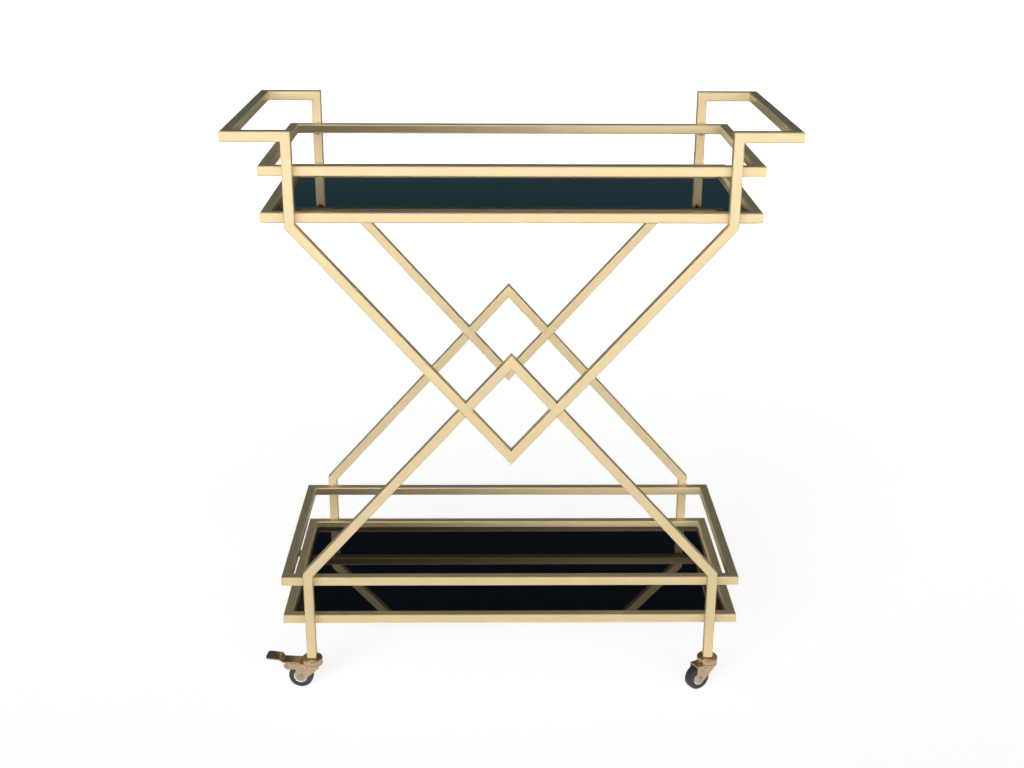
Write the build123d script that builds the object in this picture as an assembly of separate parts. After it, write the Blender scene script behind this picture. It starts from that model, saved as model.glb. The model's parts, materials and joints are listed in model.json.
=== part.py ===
from build123d import *
from math import atan2, cos, degrees, hypot, radians, sin, sqrt
import os

# Two-tier bar cart of welded square tube: a flat frame at the front and one at the back, each with
# its posts, crossed braces and handle arms, hold two glass shelves and two guard rails between them,
# on four swivel casters. Lengths are in millimetres. +X is to the right, +Y to the back, +Z up, and
# the origin is on the floor under the middle of the cart.

# Square tube
TUBE = 15.0
TUBE_WALL = 1.2
TUBE_CORNER = 2.0
TUBE_INNER_CORNER = 0.8

# Shelf frames and guard rails, all four of one length and depth
TRAY_LENGTH = 730.0
TRAY_DEPTH = 356.0
SHELF_SPACING = 660.0
LOWER_GUARD_RISE = 68.0
UPPER_GUARD_RISE = 68.0
LEG_DROP = 55.0

# Front and back frames
POST_SPAN = 656.0
HANDLE_REACH = 85.0
HANDLE_RISE = 52.0
UPPER_BEND_DROP = 17.5
LOWER_BEND_RISE = 11.0
VEE_DEPTH = 361.5
PEAK_RISE = 357.0
VENT_RADIUS = 4.0
VENT_DROP = 1.0
WELD = 2.2

# Glass shelves and the flat bars that carry them
GLASS_THICKNESS = 4.0
GLASS_EDGE_GAP = 1.0
GLASS_CORNER = 6.0
GLASS_BEVEL = 0.6
LEDGE_THICKNESS = 2.0
LEDGE_LAP = 6.0
LEDGE_REACH = 10.0
BUMPER_PITCH = 250.0
BUMPER_RADIUS = 4.0
BUMPER_THICKNESS = 0.3

# Caster wheel
WHEEL_RADIUS = 20.0
TYRE_WIDTH = 16.0
TYRE_SHOULDER = 3.0
HUB_RADIUS = 11.0
HUB_RIM = 2.0
HUB_RIM_WIDTH = 15.0
HUB_WEB = 6.0
HUB_BOSS_RADIUS = 6.0
HUB_END_GAP = 0.2
AXLE_RADIUS = 3.0
AXLE_HEAD_RADIUS = 5.0
AXLE_HEAD_HEIGHT = 1.4
RUNNING_GAP = 0.05
TYRE_SIDE_GAP = 0.7

# Caster fork, its swivel bearing and the stem
TRAIL = 19.0
SHEET = 1.6
CROWN_PLATE = 2.0
CROWN_CLEARANCE = 2.0
CAP_RADIUS = 16.5
CAP_EDGE = 2.5
CAP_SKIRT_GAP = 0.6
RACE_RADIUS = 14.2
RACE_HEIGHT = 4.0
RACE_GROOVE = 0.8
BALL_RADIUS = 2.0
BALL_CIRCLE = 10.5
BALL_COUNT = 12
BALL_GAP = 0.1
STEM_RADIUS = 4.0
STEM_HEAD_RADIUS = 6.4
STEM_HEAD_HEIGHT = 1.8
STEM_HEAD_GAP = 0.2
STEM_RECESS_GAP = 0.6
STEM_COLLAR_RADIUS = 6.0
STEM_COLLAR_GAP = 0.3
STEM_HEX = 12.0
STEM_HEX_HEIGHT = 2.0
STEM_GRIP = 22.0
INSERT_LENGTH = 25.0
CHEEK_FRONT = 12.5
CHEEK_BAND = 6.0
CHEEK_LOBE = 7.5
HOOD_REAR = 26.0
EMBOSS_LENGTH = 16.0
EMBOSS_WIDTH = 9.0
EMBOSS_HEIGHT = 0.7
EMBOSS_HEAD_GAP = 0.5

# Brake pedal
PIVOT_BACK = 21.5
PIVOT_RISE = 19.0
PIVOT_RADIUS = 2.0
PIVOT_HEAD_RADIUS = 3.4
PIVOT_HEAD_HEIGHT = 1.2
PIVOT_EAR = 5.0
PEDAL_THROW = 20.0
PEDAL_PLATE = 2.0
PEDAL_LIFT = 1.0
PEDAL_WIDTH = 21.0
PEDAL_TOE_GAP = 2.0
PEDAL_NECK = 6.0
PEDAL_RAMP = 5.0
PEDAL_RAMP_RISE = 5.0
PAD_LENGTH = 23.0
PAD_WIDTH = 24.0
PAD_RISE = 1.5
PAD_CORNER = 5.0
PEDAL_EAR_SHEET = 1.6
PEDAL_EAR_WIDTH = 8.0
PEDAL_SIDE_GAP = 0.9
CAM_ROUND = 5.0
CAM_GAP = 0.3

# How far each caster is turned from trailing straight along -X, and whether it has a brake
CASTERS = {
    "front_left": (-1, -1, -6.0, True),
    "front_right": (1, -1, 30.0, False),
    "back_left": (-1, 1, 6.0, True),
    "back_right": (1, 1, -30.0, False),
}

# Heights from the floor up
axle_height = WHEEL_RADIUS
crown_bottom = 2 * WHEEL_RADIUS + CROWN_CLEARANCE
crown_top = crown_bottom + CROWN_PLATE
race_top = crown_top + RACE_HEIGHT
ball_height = race_top - RACE_GROOVE + BALL_GAP + BALL_RADIUS
cap_ceiling = ball_height + BALL_RADIUS + BALL_GAP
cap_top = cap_ceiling + SHEET
leg_end = cap_top + STEM_HEX_HEIGHT
lower_shelf_top = leg_end + LEG_DROP + TUBE
lower_guard_top = lower_shelf_top + LOWER_GUARD_RISE
upper_shelf_top = lower_shelf_top + SHELF_SPACING
upper_guard_top = upper_shelf_top + UPPER_GUARD_RISE
handle_top = upper_guard_top + HANDLE_RISE

# Centre lines of the front and back frames, as (x, z), for the right half
post_x = POST_SPAN / 2 - TUBE / 2
handle_x = POST_SPAN / 2 + HANDLE_REACH - TUBE / 2
frame_y = TRAY_DEPTH / 2 + TUBE / 2
shoulder = (post_x, handle_top - TUBE / 2)
upper_bend = (post_x, upper_shelf_top - UPPER_BEND_DROP)
vee_bottom = (0.0, upper_bend[1] - VEE_DEPTH)
lower_bend = (post_x, lower_guard_top + LOWER_BEND_RISE)
peak = (0.0, lower_bend[1] + PEAK_RISE)
foot = (post_x, leg_end)


def unit(start, end):
    """Direction in the frame's plane from one (x, z) point to another, as a 3-D vector."""
    return Vector(end[0] - start[0], 0, end[1] - start[1]).normalized()


def crossing(a, b, c, d):
    """Point (x, z) where the line through a and b meets the line through c and d."""
    rise = (b[1] - a[1]) / (b[0] - a[0])
    other = (d[1] - c[1]) / (d[0] - c[0])
    x = (c[1] - a[1] + rise * a[0] - other * c[0]) / (rise - other)
    return (x, a[1] + rise * (x - a[0]))


def shifted(point, direction, distance):
    """An (x, z) point moved along a 3-D direction that lies in the frame's plane."""
    return (point[0] + direction.X * distance, point[1] + direction.Z * distance)


def tube_section():
    bore = TUBE - 2 * TUBE_WALL
    return RectangleRounded(TUBE, TUBE, TUBE_CORNER) - RectangleRounded(bore, bore, TUBE_INNER_CORNER)


def tube(start, end, start_out=None, end_out=None):
    """Square tube between two points. Each end is cut by a plane that faces the given way out."""
    along = (end - start).normalized()
    across = Vector(1, 0, 0) if abs(along.Y) > 0.5 else Vector(0, 1, 0)
    spare = 3 * TUBE
    plane = Plane(origin=start - along * spare, x_dir=across, z_dir=along)
    bar = extrude(plane * tube_section(), amount=(end - start).length + 2 * spare)
    start_out = -along if start_out is None else start_out
    end_out = along if end_out is None else end_out
    for point, out in ((start, start_out), (end, end_out)):
        bar = split(bar, bisect_by=Plane(origin=point, z_dir=out), keep=Keep.BOTTOM)
    return bar.solid()


def mitre(along, other):
    """Way out of a member that runs along one direction where it meets one that runs along another."""
    return (other - along).normalized()


def frame_members(y, hand):
    """The tubes of one half of the front or back frame. hand is 1 for the right half, -1 for the left."""
    toward_middle = Vector(0, -1 if y > 0 else 1, 0)
    up = Vector(0, 0, 1)
    out = Vector(1, 0, 0)
    down_vee = unit(upper_bend, vee_bottom)
    up_brace = unit(lower_bend, peak)
    vee_normal = Vector(-down_vee.Z, 0, down_vee.X)
    if vee_normal.Z < 0:
        vee_normal = -vee_normal
    faces = [
        [shifted(p, vee_normal, side * TUBE / 2) for p in (upper_bend, vee_bottom)] for side in (-1, 1)
    ]
    brace_end, peak_start = (crossing(lower_bend, peak, *face) for face in faces)

    def at(point):
        return Vector(point[0], y, point[1])

    members = {
        "handle_arm": tube(
            Vector(handle_x, y, shoulder[1]), at(shoulder), mitre(-out, toward_middle), mitre(out, -up)
        ),
        "upright": tube(at(shoulder), at(upper_bend), mitre(-up, out), mitre(up, down_vee)),
        "vee_brace": tube(at(upper_bend), at(vee_bottom), mitre(down_vee, up), -out),
        "lower_brace": tube(at(lower_bend), at(brace_end), mitre(up_brace, -up), vee_normal),
        "peak_brace": tube(at(peak_start), at(peak), -vee_normal, -out),
        "leg": tube(at(lower_bend), at(foot), mitre(-up, up_brace)),
    }
    vent = Cylinder(VENT_RADIUS, TUBE, rotation=(90, 0, 0))
    vent_height = upper_guard_top - TUBE - VENT_DROP
    vent_y = y + toward_middle.Y * TUBE / 2
    members["upright"] -= Location((post_x, vent_y, vent_height)) * vent
    if hand < 0:
        members = {name: mirror(piece, about=Plane.YZ) for name, piece in members.items()}
    return {name: piece.solid() for name, piece in members.items()}


def rail_ring(top):
    """Four mitred tubes that make one shelf frame or guard rail, with its upper faces at this height."""
    x = TRAY_LENGTH / 2 - TUBE / 2
    y = TRAY_DEPTH / 2 - TUBE / 2
    corners = [Vector(a * x, b * y, top - TUBE / 2) for a, b in ((-1, -1), (1, -1), (1, 1), (-1, 1))]
    rails = []
    for i in range(4):
        before, start, end, after = (corners[(i + k) % 4] for k in (-1, 0, 1, 2))
        along = (end - start).normalized()
        start_out = mitre(along, (before - start).normalized())
        end_out = mitre(-along, (after - end).normalized())
        rails.append(tube(start, end, start_out, end_out))
    return rails


def handle_bar(hand):
    x = hand * handle_x
    z = shoulder[1]
    inward = Vector(-hand, 0, 0)
    back = Vector(0, 1, 0)
    return tube(
        Vector(x, -frame_y, z), Vector(x, frame_y, z), mitre(back, inward), mitre(-back, inward)
    )


def weld_beads():
    """Small fillet welds above and below each rail, where it crosses a post, but for the vents' places."""
    beads = []
    profile = Polygon((0, 0), (WELD, 0), (0, WELD), align=None)
    tops = (lower_shelf_top, lower_guard_top, upper_shelf_top, upper_guard_top)
    edges = [(top, 1) for top in tops] + [(top - TUBE, -1) for top in tops[:-1]]
    for edge, up in edges:
        for x in (-post_x, post_x):
            for side in (-1, 1):
                hand = -up * side
                corner = (x - hand * TUBE / 2, side * TRAY_DEPTH / 2, edge)
                plane = Plane(origin=corner, x_dir=(0, -side, 0), z_dir=(hand, 0, 0))
                beads.append(extrude(plane * profile, amount=TUBE).solid())
    return beads


def glass_panel(shelf_top):
    length = TRAY_LENGTH - 2 * TUBE - 2 * GLASS_EDGE_GAP
    depth = TRAY_DEPTH - 2 * TUBE - 2 * GLASS_EDGE_GAP
    panel = extrude(RectangleRounded(length, depth, GLASS_CORNER), amount=GLASS_THICKNESS)
    panel = chamfer(panel.faces().sort_by(Axis.Z)[-1].edges(), GLASS_BEVEL)
    panel = chamfer(panel.faces().sort_by(Axis.Z)[0].edges(), GLASS_BEVEL)
    return (Location((0, 0, shelf_top - TUBE + BUMPER_THICKNESS)) * panel).solid()


def glass_ledge(shelf_top):
    """Four mitred flat bars welded under a shelf frame, which reach in under the glass."""
    inner_x = TRAY_LENGTH / 2 - TUBE
    inner_y = TRAY_DEPTH / 2 - TUBE
    around = [(-1, -1), (1, -1), (1, 1), (-1, 1)]
    outer = [(a * (inner_x + LEDGE_LAP), b * (inner_y + LEDGE_LAP)) for a, b in around]
    inner = [(a * (inner_x - LEDGE_REACH), b * (inner_y - LEDGE_REACH)) for a, b in around]
    bars = []
    for i in range(4):
        k = (i + 1) % 4
        outline = Polygon(outer[i], outer[k], inner[k], inner[i], align=None)
        bar = extrude(outline, amount=-LEDGE_THICKNESS)
        bars.append((Location((0, 0, shelf_top - TUBE)) * bar).solid())
    return bars


def glass_bumpers(shelf_top):
    """Clear dots on the ledge, on which the glass rests."""
    x = TRAY_LENGTH / 2 - TUBE - LEDGE_REACH / 2
    y = TRAY_DEPTH / 2 - TUBE - LEDGE_REACH / 2
    places = [(i * BUMPER_PITCH, side * y) for i in (-1, 0, 1) for side in (-1, 1)]
    places += [(-x, 0), (x, 0)]
    dot = extrude(Circle(BUMPER_RADIUS), amount=BUMPER_THICKNESS)
    return [(Location((px, py, shelf_top - TUBE)) * dot).solid() for px, py in places]


# Caster pieces, each drawn with the stem on the Z axis and the wheel trailing along -X
fork_inner = TYRE_WIDTH / 2 + TYRE_SIDE_GAP
fork_outer = fork_inner + SHEET
pivot = (-TRAIL - PIVOT_BACK, axle_height + PIVOT_RISE)


def side_plate(outline, inner, outer):
    """An outline in the (x, z) plane made into two plates, one on each side of the wheel."""
    face = Plane.XZ * outline
    plates = []
    for side in (-1, 1):
        slab = extrude(Location((0, side * inner, 0)) * face, amount=-side * (outer - inner))
        plates.append(slab)
    return plates


def cross_pin(x, z, radius, half_length):
    """A round bar along Y."""
    bar = Cylinder(radius, 2 * half_length, rotation=(90, 0, 0))
    return Location((x, 0, z)) * bar


def tangent_outline(x_front, z_band, lobe):
    """Cheek below its top band: straight edges from the band down to a round lobe at the axle."""
    cx, cz = -TRAIL, axle_height

    def touch(px, pz, side):
        gap = hypot(px - cx, pz - cz)
        toward = atan2(pz - cz, px - cx)
        spread = side * atan2(sqrt(gap * gap - lobe * lobe), lobe)
        return (cx + lobe * cos(toward + spread), cz + lobe * sin(toward + spread))

    front = touch(x_front, z_band, -1)
    rear_x = -HOOD_REAR
    rear = touch(rear_x, z_band, 1)
    bottom = (cx, cz - lobe)
    sides = Line((x_front, z_band), front)
    around = ThreePointArc(front, bottom, rear)
    back = Line(rear, (rear_x, z_band))
    top = Line((rear_x, z_band), (x_front, z_band))
    return make_face([sides, around, back, top])


def fork(braked):
    band_bottom = crown_top - CHEEK_BAND
    outline = tangent_outline(CHEEK_FRONT, band_bottom, CHEEK_LOBE)
    band_length = CHEEK_FRONT + HOOD_REAR
    band = Location(((CHEEK_FRONT - HOOD_REAR) / 2, (band_bottom + crown_top) / 2))
    outline += band * Rectangle(band_length, CHEEK_BAND)
    if braked:
        ear = Location(pivot) * Circle(PIVOT_EAR)
        reach = -HOOD_REAR - pivot[0]
        arm_height = crown_top - (pivot[1] - PIVOT_EAR)
        arm_place = Location((pivot[0] + reach / 2, crown_top - arm_height / 2))
        outline += ear + arm_place * Rectangle(reach, arm_height)
    cheeks = side_plate(outline, fork_inner, fork_outer)
    body = Location((0, 0, crown_bottom + CROWN_PLATE / 2)) * Cylinder(CAP_RADIUS, CROWN_PLATE)
    body += Location((0, 0, crown_top + RACE_HEIGHT / 2)) * Cylinder(RACE_RADIUS, RACE_HEIGHT)
    hood = Box(HOOD_REAR, 2 * fork_outer, CROWN_PLATE)
    body += Location((-HOOD_REAR / 2, 0, crown_bottom + CROWN_PLATE / 2)) * hood
    for cheek in cheeks:
        body += cheek
    lean = degrees(atan2(band_bottom - axle_height, (CHEEK_FRONT - HOOD_REAR) / 2 + TRAIL))
    emboss = SlotOverall(EMBOSS_LENGTH, EMBOSS_WIDTH, rotation=lean)
    middle = ((CHEEK_FRONT - HOOD_REAR) / 4 - TRAIL / 2, (band_bottom + axle_height) / 2 + CHEEK_BAND / 2)
    head_room = Location((-TRAIL, axle_height)) * Circle(AXLE_HEAD_RADIUS + EMBOSS_HEAD_GAP)
    rib_outline = Location(middle) * emboss - head_room
    for rib in side_plate(rib_outline, fork_outer, fork_outer + EMBOSS_HEIGHT):
        body += rib
    recess_top = crown_top + STEM_RECESS_GAP
    recess = Cylinder(STEM_HEAD_RADIUS + STEM_RECESS_GAP, recess_top - crown_bottom)
    body -= Location((0, 0, (recess_top + crown_bottom) / 2)) * recess
    body -= Location((0, 0, race_top)) * Cylinder(STEM_RADIUS + RUNNING_GAP, 4 * RACE_HEIGHT)
    body -= Location((0, 0, ball_height)) * Torus(BALL_CIRCLE, BALL_RADIUS + BALL_GAP)
    body -= cross_pin(-TRAIL, axle_height, AXLE_RADIUS, 2 * fork_outer)
    if braked:
        body -= cross_pin(*pivot, PIVOT_RADIUS, 2 * fork_outer)
    return body.solid()


def headed_pin(x, z, radius, head_radius, head_height):
    """A pin through both cheeks of a fork, with a low round head on each end."""
    pin = cross_pin(x, z, radius, fork_outer)
    for side in (-1, 1):
        head = Cylinder(head_radius, head_height, rotation=(90, 0, 0))
        outer_edge = head.edges().filter_by(GeomType.CIRCLE).sort_by(Axis.Y)[-1 if side > 0 else 0]
        head = fillet(outer_edge, head_height * 0.7)
        pin += Location((x, side * (fork_outer + head_height / 2), z)) * head
    return pin.solid()


def turned(points):
    """A ring or disc about the axle, from its (radius, width) outline on one side of the wheel."""
    outline = Polygon(*points, *[(r, -w) for r, w in reversed(points)], align=None)
    placed = Plane(origin=(-TRAIL, 0, axle_height), x_dir=(1, 0, 0), z_dir=(0, 0, 1)) * outline
    axle_line = Axis((-TRAIL, 0, axle_height), (0, 1, 0))
    return revolve(placed, axle_line)


def wheel_hub():
    bore = AXLE_RADIUS + RUNNING_GAP
    rim_inside = HUB_RADIUS - HUB_RIM
    boss_half = fork_inner - HUB_END_GAP
    rim_half = HUB_RIM_WIDTH / 2
    web_half = HUB_WEB / 2
    points = [
        (bore, boss_half),
        (HUB_BOSS_RADIUS, boss_half),
        (HUB_BOSS_RADIUS, web_half),
        (rim_inside, web_half),
        (rim_inside, rim_half),
        (HUB_RADIUS, rim_half),
    ]
    return turned(points).solid()


def tyre():
    half = TYRE_WIDTH / 2
    ring = turned([(HUB_RADIUS, half), (WHEEL_RADIUS, half)])
    treads = [e for e in ring.edges().filter_by(GeomType.CIRCLE) if e.radius > WHEEL_RADIUS - 0.01]
    return fillet(treads, TYRE_SHOULDER).solid()


def caster_cap():
    """The fixed upper half of the swivel bearing: a shallow cup upside down over the balls."""
    height = cap_top - crown_top - CAP_SKIRT_GAP
    shell = Cylinder(CAP_RADIUS, height)
    top_edge = shell.edges().filter_by(GeomType.CIRCLE).sort_by(Axis.Z)[-1]
    shell = Location((0, 0, cap_top - height / 2)) * fillet(top_edge, CAP_EDGE)
    inside = cap_ceiling - crown_top
    shell -= Location((0, 0, cap_ceiling - inside / 2)) * Cylinder(CAP_RADIUS - SHEET, inside)
    shell -= Location((0, 0, cap_top)) * Cylinder(STEM_RADIUS, 3 * SHEET)
    return shell.solid()


def caster_stem():
    """Stem with its riveted head under the fork, its collar and hex round the cap, and its thread."""
    head_top = crown_top + STEM_RECESS_GAP - STEM_HEAD_GAP
    head_bottom = head_top - STEM_HEAD_HEIGHT
    stem_top = leg_end + STEM_GRIP
    stem = Location((0, 0, (head_top + stem_top) / 2)) * Cylinder(STEM_RADIUS, stem_top - head_top)
    stem += Location((0, 0, (head_bottom + head_top) / 2)) * Cylinder(STEM_HEAD_RADIUS, STEM_HEAD_HEIGHT)
    collar_bottom = race_top + STEM_COLLAR_GAP
    collar_height = cap_ceiling - collar_bottom
    stem += Location((0, 0, collar_bottom + collar_height / 2)) * Cylinder(STEM_COLLAR_RADIUS, collar_height)
    hexagon = RegularPolygon(STEM_HEX / 2, 6, major_radius=False)
    stem += Location((0, 0, cap_top)) * extrude(hexagon, amount=STEM_HEX_HEIGHT)
    return stem.solid()


def bearing_balls():
    balls = []
    for i in range(BALL_COUNT):
        turn = 360 / BALL_COUNT * i
        x = BALL_CIRCLE * cos(radians(turn))
        y = BALL_CIRCLE * sin(radians(turn))
        balls.append((Location((x, y, ball_height)) * Sphere(BALL_RADIUS)).solid())
    return balls


def leg_insert():
    """Threaded plug pressed into the end of a leg."""
    width = TUBE - 2 * TUBE_WALL
    plug = extrude(RectangleRounded(width, width, TUBE_INNER_CORNER), amount=INSERT_LENGTH)
    plug -= Cylinder(STEM_RADIUS, 3 * INSERT_LENGTH)
    return (Location((0, 0, leg_end)) * plug).solid()


def brake_pedal():
    """Rocker pedal, up at rest. Pressed down, its cam turns towards the tyre."""
    px, pz = pivot
    plate_bottom = crown_top + PEDAL_LIFT
    toe = -(CAP_RADIUS + PEDAL_TOE_GAP)
    neck_end = px - PEDAL_NECK
    ramp_end = neck_end - PEDAL_RAMP
    tip = ramp_end - PAD_LENGTH
    ramp_top = plate_bottom + PEDAL_RAMP_RISE
    lower = [
        (toe, plate_bottom),
        (neck_end, plate_bottom),
        (ramp_end, ramp_top),
        (tip, ramp_top + PAD_RISE),
    ]
    upper = [(x, z + PEDAL_PLATE) for x, z in reversed(lower)]
    strip = extrude(Plane.XZ * Polygon(*lower, *upper, align=None), amount=PAD_WIDTH / 2, both=True)
    pad_middle = (ramp_end + tip) / 2
    footprint = Location(((toe + ramp_end) / 2, 0)) * Rectangle(toe - ramp_end, PEDAL_WIDTH)
    pad_outline = RectangleRounded(PAD_LENGTH + PEDAL_RAMP, PAD_WIDTH, PAD_CORNER)
    footprint += Location((pad_middle + PEDAL_RAMP / 2, 0)) * pad_outline
    body = strip & extrude(footprint, amount=2 * leg_end)

    ear_outer = fork_inner - PEDAL_SIDE_GAP
    ear_inner = ear_outer - PEDAL_EAR_SHEET
    ear = Location(pivot) * Circle(PEDAL_EAR_WIDTH / 2)
    ear_top = plate_bottom + PEDAL_PLATE / 2
    ear += Location((px, (pz + ear_top) / 2)) * Rectangle(PEDAL_EAR_WIDTH, ear_top - pz)
    for plate in side_plate(ear, ear_inner, ear_outer):
        body += plate

    span = hypot(PIVOT_BACK, PIVOT_RISE)
    reach = span - WHEEL_RADIUS - CAM_GAP
    heading = atan2(-PIVOT_RISE, PIVOT_BACK) - radians(PEDAL_THROW)
    offset = reach - CAM_ROUND
    lobe = (px + offset * cos(heading), pz + offset * sin(heading))
    cam = make_hull((Location(lobe) * Circle(CAM_ROUND) + Location(pivot) * Circle(PIVOT_EAR - 1)).edges())
    body += extrude(Plane.XZ * cam, amount=ear_outer, both=True)
    body -= cross_pin(px, pz, PIVOT_RADIUS + RUNNING_GAP, 2 * fork_outer)
    return body.solid()


def build():
    """Every node of the cart: its name and the list of its solids."""
    nodes = {}
    for end, y in (("front", -frame_y), ("back", frame_y)):
        for side, hand in (("left", -1), ("right", 1)):
            for name, piece in frame_members(y, hand).items():
                nodes[f"{end}_{side}_{name}"] = [piece]
    for side, hand in (("left", -1), ("right", 1)):
        nodes[f"{side}_handle_bar"] = [handle_bar(hand)]
    nodes["lower_shelf_frame"] = rail_ring(lower_shelf_top)
    nodes["lower_guard_rail"] = rail_ring(lower_guard_top)
    nodes["upper_shelf_frame"] = rail_ring(upper_shelf_top)
    nodes["upper_guard_rail"] = rail_ring(upper_guard_top)
    nodes["weld_beads"] = weld_beads()
    for level, top in (("lower", lower_shelf_top), ("upper", upper_shelf_top)):
        nodes[f"{level}_glass"] = [glass_panel(top)]
        nodes[f"{level}_glass_ledge"] = glass_ledge(top)
    nodes["glass_bumpers"] = glass_bumpers(lower_shelf_top) + glass_bumpers(upper_shelf_top)

    inserts, caps, stems, balls = [], [], [], []
    for name, (side, end, turn, braked) in CASTERS.items():
        stand = Location((side * post_x, end * frame_y, 0))
        aimed = stand * Location((0, 0, 0), (0, 0, turn))
        inserts.append(stand * leg_insert())
        caps.append(stand * caster_cap())
        stems.append(stand * caster_stem())
        balls += [stand * ball for ball in bearing_balls()]
        axle = headed_pin(-TRAIL, axle_height, AXLE_RADIUS, AXLE_HEAD_RADIUS, AXLE_HEAD_HEIGHT)
        nodes[f"{name}_fork"] = [aimed * fork(braked)]
        nodes[f"{name}_axle"] = [aimed * axle]
        nodes[f"{name}_wheel_hub"] = [aimed * wheel_hub()]
        nodes[f"{name}_tyre"] = [aimed * tyre()]
        if braked:
            pin = headed_pin(*pivot, PIVOT_RADIUS, PIVOT_HEAD_RADIUS, PIVOT_HEAD_HEIGHT)
            nodes[f"{name}_brake_pin"] = [aimed * pin]
            nodes[f"{name}_brake_pedal"] = [aimed * brake_pedal()]
    nodes["leg_inserts"] = inserts
    nodes["caster_caps"] = caps
    nodes["caster_stems"] = stems
    nodes["bearing_balls"] = balls
    return nodes


os.makedirs("parts", exist_ok=True)
for node_name, solids in build().items():
    shape = solids[0] if len(solids) == 1 else Compound(solids)
    shape.label = node_name
    export_step(shape, f"parts/{node_name}.step")
    print(f"{node_name}: {len(solids)} solid(s), {sum(s.volume for s in solids):.1f} mm3")
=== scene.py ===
# %% [markdown]
# # A two-tier bar cart in square tube and black glass
# The cart is a welded frame of slim square tube in a light gold metallic lacquer. It carries two
# black glass shelves, and stands on four small swivel casters. The CAD model, which is packed as
# a fixed frame, already has every tube at its true size. This lesson loads it, sets up a camera
# and a plain studio, mixes the finishes, and makes the small pieces whose shape is better made in
# Blender.

# %% Load the fixed frame
import json
from math import cos, pi, radians, sin

import bmesh
import bpy
from mathutils import Matrix, Vector


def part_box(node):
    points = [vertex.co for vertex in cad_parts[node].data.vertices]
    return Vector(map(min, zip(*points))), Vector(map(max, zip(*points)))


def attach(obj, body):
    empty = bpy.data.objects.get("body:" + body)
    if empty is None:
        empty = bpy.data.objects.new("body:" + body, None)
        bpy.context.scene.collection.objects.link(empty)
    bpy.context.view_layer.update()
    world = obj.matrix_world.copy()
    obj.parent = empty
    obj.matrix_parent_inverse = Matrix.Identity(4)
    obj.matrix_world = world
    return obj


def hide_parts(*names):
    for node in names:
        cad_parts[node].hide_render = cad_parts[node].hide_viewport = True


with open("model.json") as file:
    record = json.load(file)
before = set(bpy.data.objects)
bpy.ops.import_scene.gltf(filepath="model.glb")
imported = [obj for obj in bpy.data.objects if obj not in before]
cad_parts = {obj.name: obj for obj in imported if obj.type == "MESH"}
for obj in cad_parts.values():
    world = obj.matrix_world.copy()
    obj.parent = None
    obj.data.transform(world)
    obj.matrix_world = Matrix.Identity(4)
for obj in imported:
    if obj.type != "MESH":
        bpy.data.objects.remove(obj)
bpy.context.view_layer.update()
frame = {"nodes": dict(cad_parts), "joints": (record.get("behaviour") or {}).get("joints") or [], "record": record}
nodes = frame["nodes"]

# %% [markdown]
# ## The camera
# The photograph looks down on the cart from the front, a little left of its middle. A camera
# could be placed by eye, but then thin tubes miss each other by several pixels. Here the place
# and the angles come from a fit of the cart's own edges to the picture. Blender's camera looks
# along its own minus Z, so its matrix is built from three directions.

# %% Camera
IMAGE_WIDTH = 1024
FOCAL_PIXELS = 1393.25
SENSOR_WIDTH = 36.0
CAMERA_PLACE = Vector((-0.02969, -2.15070, 1.25616))
CAMERA_DOWN = radians(20.419)
CAMERA_YAW = radians(0.888)
CAMERA_ROLL = radians(0.299)


def camera_axes(down, yaw, roll):
    """The camera's right, up and backward directions in the room."""
    forward = Vector((sin(yaw) * cos(down), cos(yaw) * cos(down), -sin(down)))
    right = Vector((cos(yaw), -sin(yaw), 0.0))
    up = right.cross(forward)
    turned_right = cos(roll) * right + sin(roll) * up
    turned_up = cos(roll) * up - sin(roll) * right
    return turned_right, turned_up, -forward


camera_data = bpy.data.cameras.new("camera")
camera_data.sensor_width = SENSOR_WIDTH
camera_data.lens = FOCAL_PIXELS / IMAGE_WIDTH * SENSOR_WIDTH
camera = bpy.data.objects.new("camera", camera_data)
bpy.context.scene.collection.objects.link(camera)
axes = camera_axes(CAMERA_DOWN, CAMERA_YAW, CAMERA_ROLL)
camera.matrix_world = Matrix.Translation(CAMERA_PLACE) @ Matrix(axes).transposed().to_4x4()
bpy.context.scene.camera = camera
print("lens", round(camera_data.lens, 2), "mm")

# %% [markdown]
# ## The studio
# A satin metallic lacquer shows its own colour where soft light falls on it, and the room where
# it mirrors. In the photograph the faces that look at the camera are bright and the faces that
# look up are nearly dark, so the light comes from low in front and little comes from above. Lamps
# alone would give the thin tubes hard streaks. So the world is the main light: a bright band low
# in front, which reads like a long lit screen, and an unlit, slightly blue-green room elsewhere,
# which gives the black panes their tint. Mirrors see the band dimmed, because the panes would be
# white from behind if they showed it in full, and the camera sees plain white.

# %% Small helpers for node trees
def node(tree, kind, **settings):
    """A new node, with its inputs or its own settings given by name."""
    made = tree.nodes.new(kind)
    for key, value in settings.items():
        if key in made.inputs:
            made.inputs[key].default_value = value
        else:
            setattr(made, key, value)
    return made


def link(tree, source, target):
    tree.links.new(source, target)


def ramp_of(tree, stops):
    """A colour ramp node from stops of a position and a colour, or a grey level."""
    made = node(tree, "ShaderNodeValToRGB")
    ramp = made.color_ramp
    while len(ramp.elements) < len(stops):
        ramp.elements.new(0.5)
    for element, (place, tint) in zip(ramp.elements, stops):
        element.position = place
        element.color = (*tint, 1.0) if isinstance(tint, tuple) else (tint, tint, tint, 1.0)
    return made


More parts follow.
